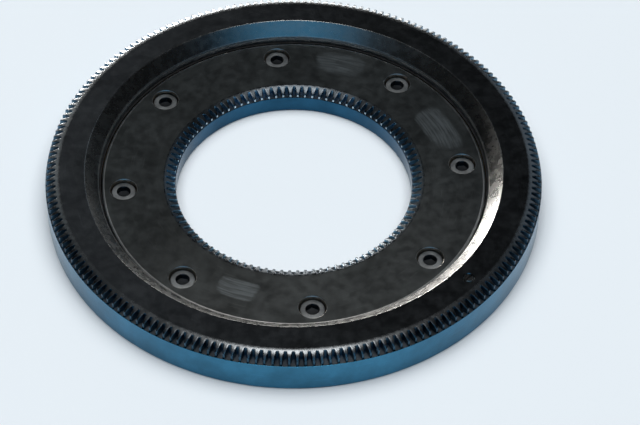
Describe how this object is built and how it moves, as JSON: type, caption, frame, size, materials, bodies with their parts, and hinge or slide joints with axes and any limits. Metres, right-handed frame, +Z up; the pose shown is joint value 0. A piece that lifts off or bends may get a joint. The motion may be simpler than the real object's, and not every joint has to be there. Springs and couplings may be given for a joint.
{
  "type": "slewing ring bearing",
  "caption": "Flat slewing ring bearing: a toothed outer ring turns on caged balls about a split inner ring with a toothed bore and sunk clamp screws.",
  "frame": {"origin": "centre of the ring axis on the plane the bearing stands on", "axes": "+Z up along the axis of rotation, out of the recessed face; -Y towards the pictured side"},
  "size_m": [0.2032, 0.2032, 0.018],
  "materials": {
    "outer_blued_steel": "blued, satin",
    "inner_blued_steel": "black oxide, worn satin",
    "cage_brass": "turned brass",
    "seal_rubber": "moulded",
    "plug_steel": "plain",
    "screw_steel": "grey, satin",
    "ball_steel": "polished"
  },
  "bodies": {
    "inner_ring_assembly": {"inner_gear_ring": "inner_blued_steel", "retaining_ring": "inner_blued_steel", "clamp_screw_1": "screw_steel", "clamp_screw_2": "screw_steel", "clamp_screw_3": "screw_steel", "clamp_screw_4": "screw_steel", "clamp_screw_5": "screw_steel", "clamp_screw_6": "screw_steel", "clamp_screw_7": "screw_steel", "clamp_screw_8": "screw_steel"},
    "outer_ring_assembly": {"outer_gear_ring": "outer_blued_steel", "upper_seal": "seal_rubber", "lower_seal": "seal_rubber", "lubrication_plug": "plug_steel"},
    "caged_balls": {"ball_cage": "cage_brass", "ball_01": "ball_steel", "ball_02": "ball_steel", "ball_03": "ball_steel", "ball_04": "ball_steel", "ball_05": "ball_steel", "ball_06": "ball_steel", "ball_07": "ball_steel", "ball_08": "ball_steel", "ball_09": "ball_steel", "ball_10": "ball_steel", "ball_11": "ball_steel", "ball_12": "ball_steel", "ball_13": "ball_steel", "ball_14": "ball_steel", "ball_15": "ball_steel", "ball_16": "ball_steel", "ball_17": "ball_steel", "ball_18": "ball_steel", "ball_19": "ball_steel", "ball_20": "ball_steel", "ball_21": "ball_steel", "ball_22": "ball_steel", "ball_23": "ball_steel", "ball_24": "ball_steel", "ball_25": "ball_steel", "ball_26": "ball_steel", "ball_27": "ball_steel", "ball_28": "ball_steel", "ball_29": "ball_steel", "ball_30": "ball_steel", "ball_31": "ball_steel", "ball_32": "ball_steel", "ball_33": "ball_steel", "ball_34": "ball_steel", "ball_35": "ball_steel", "ball_36": "ball_steel"}
  },
  "joints": [
    {"name": "ring_rotation", "type": "hinge", "parent": "inner_ring_assembly", "child": "outer_ring_assembly", "pos_m": [0, 0, 0.005], "axis": [0, 0, 1], "continuous": true},
    {"name": "cage_rotation", "type": "hinge", "parent": "inner_ring_assembly", "child": "caged_balls", "pos_m": [0, 0, 0.005], "axis": [0, 0, 1], "continuous": true}
  ],
  "couplings": [
    {"joint": "cage_rotation", "follows": "ring_rotation", "ratio": 0.511}
  ]
}
